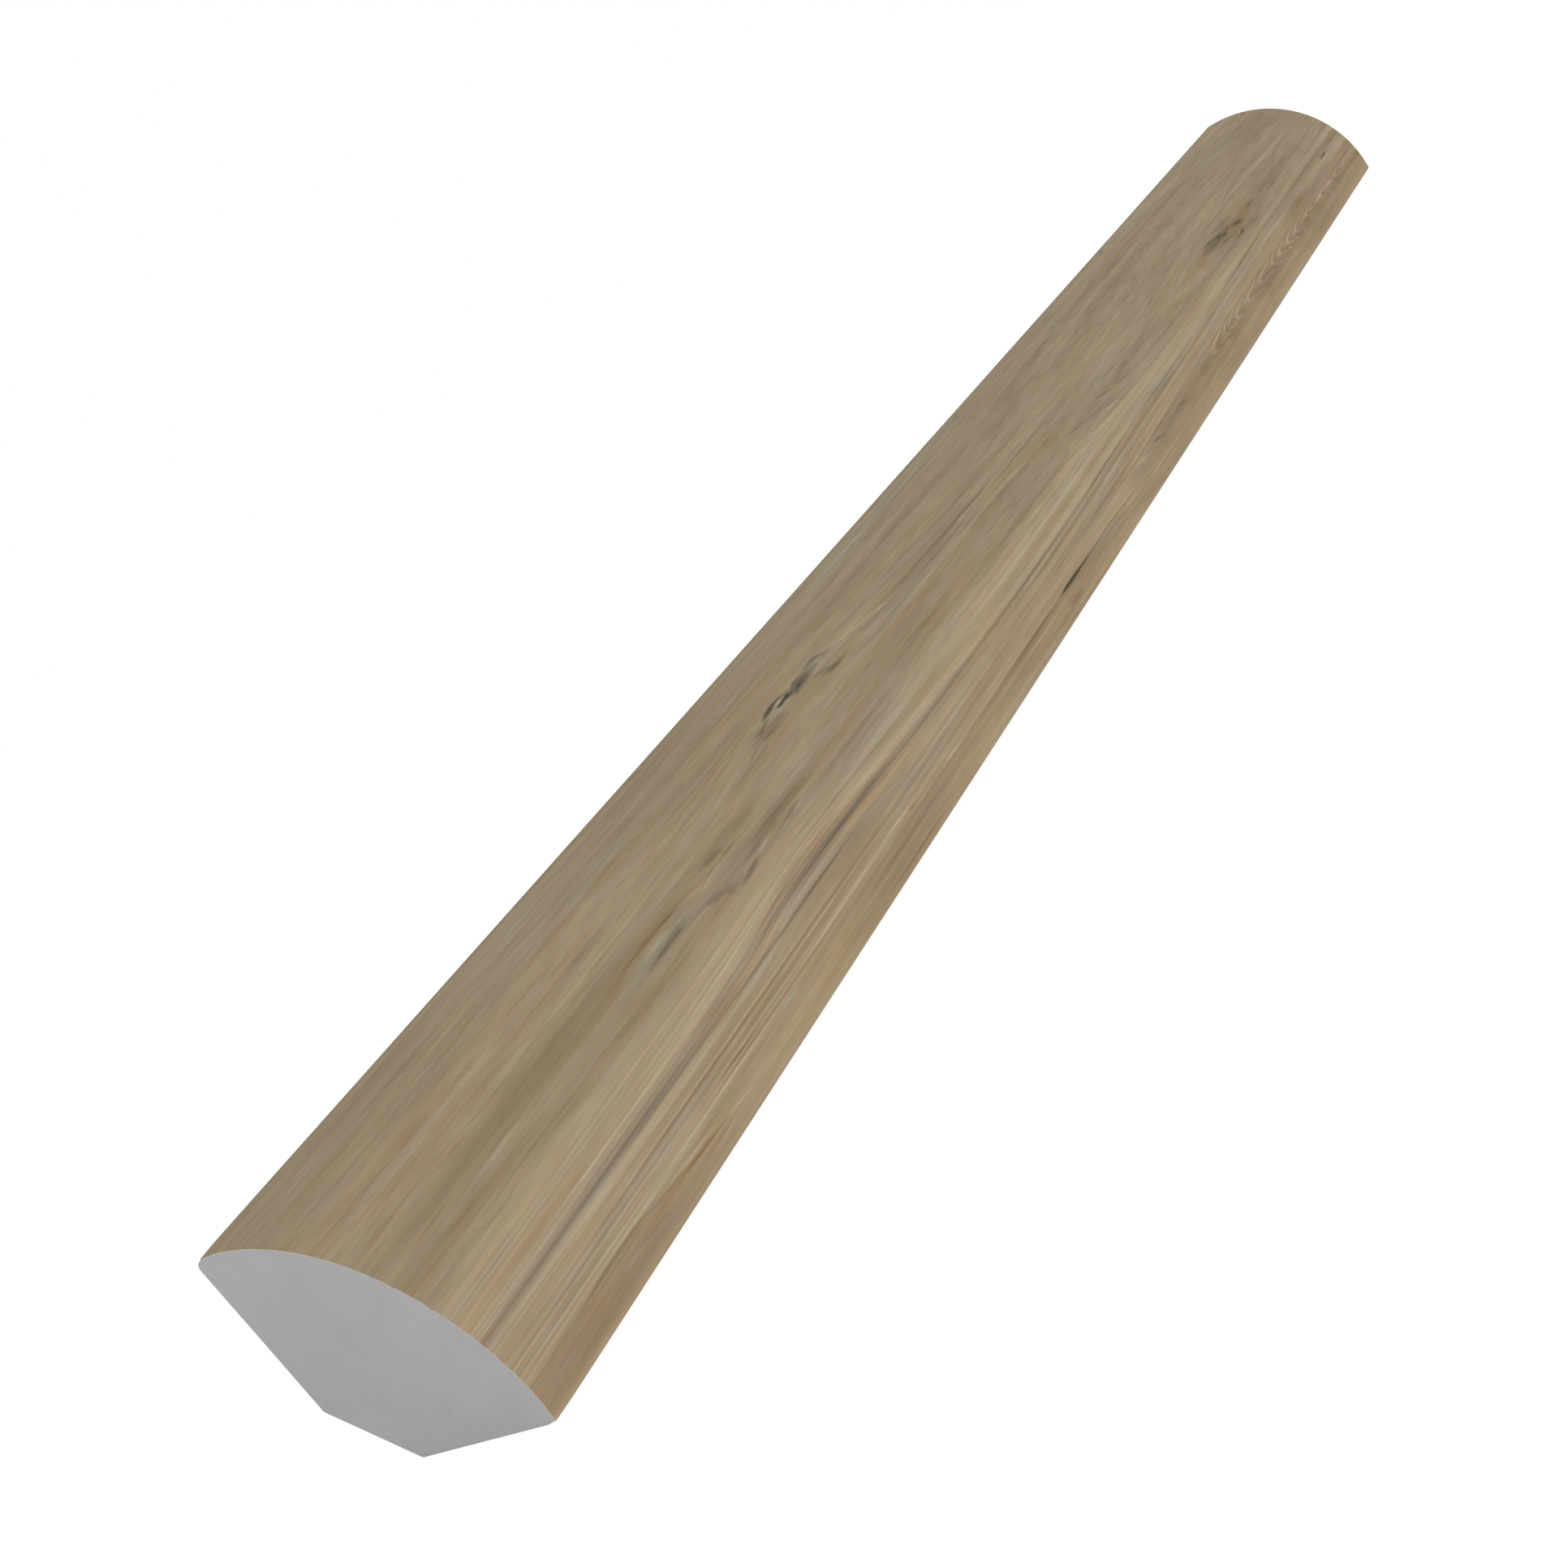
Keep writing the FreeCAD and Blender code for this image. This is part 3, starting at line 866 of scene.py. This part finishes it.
def lens_terms(along_0, girth_0, along_1, girth_1, half_width, strength, bow=0.0):
    """What one mark gives the sums that find how far a place is along it and off its middle line."""
    half, middle = (along_1 - along_0) / 2, (along_0 + along_1) / 2
    tilt = (girth_1 - girth_0) / (along_1 - along_0)
    height = (girth_0 + girth_1) / 2 - tilt * middle + bow
    return (1 / half, -middle / half, 1 / half_width, -tilt / half_width, -height / half_width,
            bow / half_width, strength)


def cover_of(finish, along, girth, marks):
    """How strongly the marks of one tone cover each place. Three marks share each vector sum."""
    along3 = finish.node("CombineXYZ", None, {0: along, 1: along, 2: along})
    girth3 = finish.node("CombineXYZ", None, {0: girth, 1: girth, 2: girth})
    cover = 0.0
    for first in range(0, len(marks), 3):
        trio = (marks[first:first + 3] + [IDLE_MARK, IDLE_MARK])[:3]
        scale, start, width, slope, across, bow, strength = zip(*(lens_terms(*mark) for mark in trio))
        run = finish.vector("MULTIPLY_ADD", along3, scale, start)
        run_squared = finish.vector("MULTIPLY", run, run)
        off = finish.vector("MULTIPLY_ADD", girth3, width, across)
        off = finish.vector("MULTIPLY_ADD", along3, slope, off)
        if any(bow):
            off = finish.vector("MULTIPLY_ADD", run_squared, bow, off)
        far = finish.vector("MULTIPLY_ADD", off, off, run_squared)
        near = finish.vector("MAXIMUM", finish.vector("SUBTRACT", (1.0, 1.0, 1.0), far), (0.0, 0.0, 0.0))
        near = finish.vector("MULTIPLY", near, near)
        cover = finish.vector("DOT_PRODUCT", near, strength, output=1) + cover
    return cover


def flame_figure(finish, tone, tones, along, girth, fibres):
    """Nested flame tips: each pale outline is followed by brown that fades towards the next."""
    edge = streaks(finish, "flame edge", along, girth) - 0.5
    rise = girth - FLAME_AXIS + edge * 0.5
    opening = FLAME_OPENING + finish.ease(along, *FLAME_WIDENS) * FLAME_WIDENING
    spacing = streaks(finish, "flame spacing", along, girth) - 0.5
    turn = ((along - rise * rise * opening + edge * 5.0 + spacing * 16.0) / FLAME_SPACING).fraction()
    inside = (finish.ease(along, FLAME_FROM, FLAME_FROM + 12) * finish.ease(along, FLAME_TO, FLAME_TO - 10)
              * finish.ease(abs(rise), FLAME_REACH, FLAME_REACH * 0.4))
    outline = finish.ease(turn, 0.22, 0.1) * finish.ease(turn, 0.0, 0.06) * inside
    fill = finish.ease(turn, 0.15, 0.3) * finish.ease(turn, 1.0, 0.35) * inside
    tone = finish.mix(fill * 0.6, tone, tones.brown)
    return finish.mix(outline * (0.2 + fibres * 1.3), tone, tones.cream)


def growth_lines(finish, along, girth, grain, swells):
    """Even growth lines beside the vein, which fade along the moulding, from -1 to 1."""
    lines = (grain * RING_TURNS + (swells - 0.5) * RING_DRIFT).sine()
    return (lines * finish.ease(girth, *RINGS_BEGIN) * finish.ease(girth, *reversed(RINGS_END))
            * finish.ease(along, *reversed(RINGS_FADE)))


def wood_print(tones):
    """The printed oak: its ground, with painted light at the floor edge and painted shade at the wall edge,
    flame figure, marks and streaks, on a finely embossed face.
    """
    finish = Finish(bpy.data.materials.new("printed wood grain"))
    place = finish.node("SeparateXYZ", None, {0: finish.node("UVMap", {"uv_map": PRINT_UV})})
    along = place * (FULL_LENGTH / MM)
    girth = place.beside("Y") * (FULL_LENGTH / MM)

    wander = streaks(finish, "wander", along, girth) - 0.5
    wobble = streaks(finish, "wobble", along, girth) - 0.5
    loose = finish.ease(girth, *LOOSE_GIRTH)
    grain = (follow_grain(finish, along, girth) + wander * (CLOSE_WANDER + loose * LOOSE_WANDER)
             + wobble * (CLOSE_WOBBLE + loose * LOOSE_WOBBLE))

    # Long ribbons near the floor edge, short fibres above them, broad swells and warmer and cooler streaks
    ribbons = streaks(finish, "ribbons", along, grain)
    fibres = streaks(finish, "fibres", along, grain)
    swells = streaks(finish, "swells", along, grain)
    warmth = streaks(finish, "warmth", along, grain)

    # The ground tones carry painted light, lightening the floor edge, and painted shade, darkening the wall
    # edge
    ground = [(place_round / GROUND_SPAN, paint(*tone)) for place_round, tone in GROUND_WITH_PAINTED_LIGHT]
    tone = finish.node("ValToRGB", {"stops": ground}, {"Fac": grain / GROUND_SPAN})
    tone = flame_figure(finish, tone, tones, along, girth, fibres)

    # The fibres shift and feather the edges of the marks
    mark_along = along + wobble * 2.0 + (fibres - 0.5) * 0.6
    mark_girth = girth + wobble * (0.04 + loose * 0.2) + (fibres - 0.5) * 0.1
    feather = 0.55 + fibres * 0.9
    for name, marks in MARKS.items():
        cover = cover_of(finish, mark_along, mark_girth, marks) * feather
        tone = finish.mix(cover.clamped(), tone, getattr(tones, name))

    # Ribbons shade the tone less above the vein, fibres and pores more, and pores also towards the far end
    ribbon_depth = 0.45 + finish.ease(girth, *RIBBON_GIRTH) * 0.35 - loose * 0.55
    fibre_depth = 0.25 + loose * 0.15
    pore_depth = (0.1 + loose * 0.1) * (1 + finish.ease(along, *PORE_PLACES) * 1.5)
    pores = streaks(finish, "pores", along, grain)
    rings = growth_lines(finish, along, girth, grain, swells)
    shade = ((ribbons - 0.5) * ribbon_depth + (fibres - 0.5) * fibre_depth + (swells - 0.5) * 0.5
             + (pores - 0.5) * pore_depth + rings * RING_DEPTH)

    # Shade moves blue the most and red the least, and warm streaks trade blue for red
    warm = warmth - 0.5
    tone = finish.shaded(tone, 1 + shade * 0.8 + warm * 0.25, 1 + shade, 1 + shade * 1.17 - warm * 0.3)
    return finish.give(tone, 0.56 + (fibres - 0.5) * 0.16, PRINT_GLOSS, fibres, 0.01 * MM)


def core_finish(name, tone, mottle, cells_per_metre, bump_depth):
    """The grey core: cloudy mottling, fine closed cells and a dull face."""
    finish = Finish(bpy.data.materials.new(name))
    clouds = finish.grit(CLOUDS_PER_METRE, 3.0, 0.6)
    cells = finish.grit(cells_per_metre, 2.0, 0.6)
    light = 1 + (clouds - 0.5) * mottle + (cells - 0.5) * mottle * 0.8
    tone = finish.shaded(tuple(tone), light, light, light)
    return finish.give(tone, 0.72 + (clouds - 0.5) * 0.1, CORE_GLOSS, cells, bump_depth)


def cut_film_finish(tone):
    """The film's own plastic, seen where the saw and the trimming knife cut it."""
    finish = Finish(bpy.data.materials.new("cut film"))
    haze = finish.grit(HAZE_PER_METRE)
    light = 1 + (haze - 0.5) * 0.3
    return finish.give(finish.shaded(tuple(tone), light, light, light), 0.6 + (haze - 0.5) * 0.1, CUT_GLOSS)


class MOULDING_OT_core(bpy.types.Operator):
    """Model the grey foamed core with its flat backs, bevelled back corner and curved face"""
    bl_idname = "moulding.core"
    bl_label = "Foamed core"

    def execute(self, context):
        sizes, tones = context.scene.moulding_sizes, context.scene.core_tones
        mesh = bmesh.new()
        centre_y, centre_z = curve_centre(sizes)
        front, top = -WALL + sizes.film, TOP - sizes.film
        round_y = WALL - sizes.wall_round

        # The section, drawn from the back bevel along the floor and round the face to the wall
        start = mesh.verts.new((NEAR_END, WALL, sizes.back_bevel))
        end = draw_to(mesh, start, WALL - sizes.back_bevel, 0)
        end = draw_to(mesh, end, front + sizes.floor_run, 0)
        end = draw_to(mesh, end, front, sizes.floor_rise)
        end = draw_to(mesh, end, front, centre_z)
        end = swing_round(mesh, end, (centre_y, centre_z), CURVE_STEPS)
        end = draw_to(mesh, end, round_y, top)
        end = swing_round(mesh, end, (round_y, top - sizes.wall_round), WALL_ROUND_STEPS)
        mesh.edges.new((end, start))
        section = bmesh.ops.contextual_create(mesh, geom=mesh.edges[:])["faces"]
        send_to_far_end(mesh, bmesh.ops.extrude_face_region(mesh, geom=section, use_keep_orig=True))
        bmesh.ops.recalc_face_normals(mesh, faces=mesh.faces)

        soften(mesh, [e for e in mesh.edges if is_bevel_corner(e, sizes)], sizes.corner_round, 3)
        soften(mesh, [e for e in mesh.edges if is_bare_end(e, sizes)], sizes.saw_softness, 2)
        cut_across(mesh)
        wear_saw_cut(mesh, sizes)
        bmesh.ops.recalc_face_normals(mesh, faces=mesh.faces)
        for face in mesh.faces:
            face.material_index = 0 if abs(face.normal.x) > SAWN_FACING else 1
        set_creases(mesh)
        finish_piece(mesh, "foamed_core", "core", [
            core_finish("sawn foam", tones.sawn, 0.13, 2600.0, 0.02 * MM),
            core_finish("extruded skin", tones.skin, 0.05, 1500.0, 0.006 * MM),
        ])
        return {"FINISHED"}


class MOULDING_OT_film(bpy.types.Operator):
    """Model the wood grain film over the curve and both noses, with its print and its cut edges"""
    bl_idname = "moulding.film"
    bl_label = "Wood grain film"

    def execute(self, context):
        sizes, scene = context.scene.moulding_sizes, context.scene
        mesh = bmesh.new()
        centre_y, centre_z = curve_centre(sizes)

        # The outside of the film, drawn from its trim at the floor to its trim at the wall
        start = mesh.verts.new((NEAR_END, -WALL, sizes.floor_rise))
        end = draw_to(mesh, start, -WALL, centre_z)
        end = swing_round(mesh, end, (centre_y, centre_z), CURVE_STEPS)
        draw_to(mesh, end, WALL - sizes.wall_round, TOP)
        send_to_far_end(mesh, bmesh.ops.extrude_edge_only(mesh, edges=mesh.edges[:]))
        cut_across(mesh)
        bmesh.ops.recalc_face_normals(mesh, faces=mesh.faces)
        middle = mesh.faces[:][len(mesh.faces) // 2]
        if middle.normal.dot(inward_at(middle.calc_center_median(), sizes)) > 0:
            bmesh.ops.reverse_faces(mesh, faces=mesh.faces[:])

        print_map = mesh.loops.layers.uv.new(PRINT_UV)
        for face in mesh.faces:
            for loop in face.loops:
                loop[print_map].uv = ((loop.vert.co.x - NEAR_END) / FULL_LENGTH,
                                      girth_of(loop.vert.co, sizes) / FULL_LENGTH)
        bmesh.ops.solidify(mesh, geom=mesh.faces[:], thickness=sizes.film)
        wear_saw_cut(mesh, sizes)
        bmesh.ops.recalc_face_normals(mesh, faces=mesh.faces)
        for face in mesh.faces:
            outwards = -inward_at(face.calc_center_median(), sizes)
            face.material_index = 0 if face.normal.dot(outwards) > PRINT_FACING else 1
        set_creases(mesh)
        finish_piece(mesh, "grain_film", "wood_film",
                     [wood_print(scene.grain_tones), cut_film_finish(scene.core_tones.cut_film)])
        return {"FINISHED"}


# The camera: its place in metres, its heading, drop and roll in degrees, and its lens in mm
CAMERA_PLACE = (-0.20794, -0.11258, 0.05245)
CAMERA_HEADING, CAMERA_DROP, CAMERA_ROLL = 51.5803, 13.0189, 36.2612
CAMERA_LENS, CAMERA_SENSOR = 48.93, 36.0
CAMERA_CLIP = (0.005, 100.0)

# The floor: its size in metres and its grey, and how brightly and strongly the camera sees it lit up
FLOOR_SIZE = 40.0
FLOOR_GREY = (0.9, 0.9, 0.9, 1.0)
FLOOR_GLOW, FLOOR_GLOW_SHARE = 1.12, 0.8

# The light from all round, and the soft lamp: its place, where it points, its size and its power in watts
WORLD_LIGHT = 0.83
LAMP_PLACE, LAMP_AIM = Vector((-0.75, -0.88, 0.1)), Vector((0.0, 0.0, 0.01))
LAMP_SIZE, LAMP_POWER = 0.9, 5.4


def lay_floor(scene):
    """The pale floor, which the camera sees as nearly white, with the moulding's shadow on it."""
    floor = Finish(bpy.data.materials.new("pale floor"))
    seen = floor.node("LightPath")
    matt = floor.node("BsdfDiffuse", None, {"Color": FLOOR_GREY})
    bright = floor.node("Emission", None, {"Color": WHITE, "Strength": FLOOR_GLOW})
    lifted = floor.node("MixShader", None, {0: FLOOR_GLOW_SHARE, 1: matt, 2: bright})
    surface = floor.node("MixShader", None, {0: seen, 1: matt, 2: lifted})
    floor.node("OutputMaterial", None, {"Surface": surface})

    mesh = bmesh.new()
    bmesh.ops.create_grid(mesh, x_segments=1, y_segments=1, size=FLOOR_SIZE / 2)
    data = bpy.data.meshes.new("floor")
    mesh.to_mesh(data)
    mesh.free()
    data.materials.append(floor.painted)
    ground = bpy.data.objects.new("floor", data)
    scene.collection.objects.link(ground)


def light_studio(scene):
    """An even light from all round, which the camera sees as white, and one large soft lamp."""
    studio = Finish(bpy.data.worlds.new("studio"))
    seen = studio.node("LightPath")
    strength = studio.node("MapRange", None, {0: seen, 3: WORLD_LIGHT, 4: 1.0})
    sky = studio.node("Background", None, {"Color": WHITE, "Strength": strength})
    studio.node("OutputWorld", None, {"Surface": sky})
    scene.world = studio.painted

    panel = bpy.data.lights.new("soft panel", "AREA")
    panel.shape, panel.size, panel.energy = "SQUARE", LAMP_SIZE, LAMP_POWER
    lamp = bpy.data.objects.new("soft panel", panel)
    lamp.location = LAMP_PLACE
    lamp.rotation_euler = (LAMP_AIM - LAMP_PLACE).to_track_quat("-Z", "Y").to_euler()
    scene.collection.objects.link(lamp)


def set_camera(scene):
    """The camera at the photograph's viewing angle, its axes worked out from its heading, drop and roll."""
    heading, drop, roll = (math.radians(a) for a in (CAMERA_HEADING, CAMERA_DROP, CAMERA_ROLL))
    forward = Vector((math.sin(heading), math.cos(heading), 0)) * math.cos(drop)
    forward.z = -math.sin(drop)
    level_right = forward.cross(Vector((0, 0, 1))).normalized()
    level_up = level_right.cross(forward)
    up = level_up * math.cos(roll) + level_right * math.sin(roll)
    right = forward.cross(up)
    lens = bpy.data.cameras.new("camera")
    lens.lens, lens.sensor_width = CAMERA_LENS, CAMERA_SENSOR
    lens.clip_start, lens.clip_end = CAMERA_CLIP
    camera = bpy.data.objects.new("camera", lens)
    turn = Matrix((right, up, -forward)).transposed().to_4x4()
    camera.matrix_world = Matrix.Translation(CAMERA_PLACE) @ turn
    scene.collection.objects.link(camera)
    scene.camera = camera


class MOULDING_OT_stage(bpy.types.Operator):
    """Set up the pale floor, the soft light and the camera"""
    bl_idname = "moulding.stage"
    bl_label = "Stage and camera"

    def execute(self, context):
        context.scene.view_settings.view_transform = "Standard"
        lay_floor(context.scene)
        light_studio(context.scene)
        set_camera(context.scene)
        return {"FINISHED"}


class VIEW3D_PT_moulding(bpy.types.Panel):
    """The sizes, tones and steps of the moulding"""
    bl_label = "Quarter round moulding"
    bl_space_type = "VIEW_3D"
    bl_region_type = "UI"
    bl_category = "Moulding"

    def draw(self, context):
        for group in (context.scene.moulding_sizes, context.scene.grain_tones, context.scene.core_tones):
            box = self.layout.box()
            for name in group.bl_rna.properties.keys():
                if name not in ("rna_type", "name"):
                    box.prop(group, name)
        for operator in (MOULDING_OT_core, MOULDING_OT_film, MOULDING_OT_stage):
            self.layout.operator(operator.bl_idname)


CLASSES = (MouldingSizes, GrainTones, CoreTones, MOULDING_OT_core, MOULDING_OT_film, MOULDING_OT_stage,
           VIEW3D_PT_moulding)


def register():
    for one in CLASSES:
        bpy.utils.register_class(one)
    bpy.types.Scene.moulding_sizes = bpy.props.PointerProperty(type=MouldingSizes)
    bpy.types.Scene.grain_tones = bpy.props.PointerProperty(type=GrainTones)
    bpy.types.Scene.core_tones = bpy.props.PointerProperty(type=CoreTones)


def unregister():
    del bpy.types.Scene.core_tones
    del bpy.types.Scene.grain_tones
    del bpy.types.Scene.moulding_sizes
    for one in reversed(CLASSES):
        bpy.utils.unregister_class(one)


def main():
    register()
    bpy.ops.moulding.core()
    bpy.ops.moulding.film()
    bpy.ops.moulding.stage()


if __name__ == "__main__":
    main()
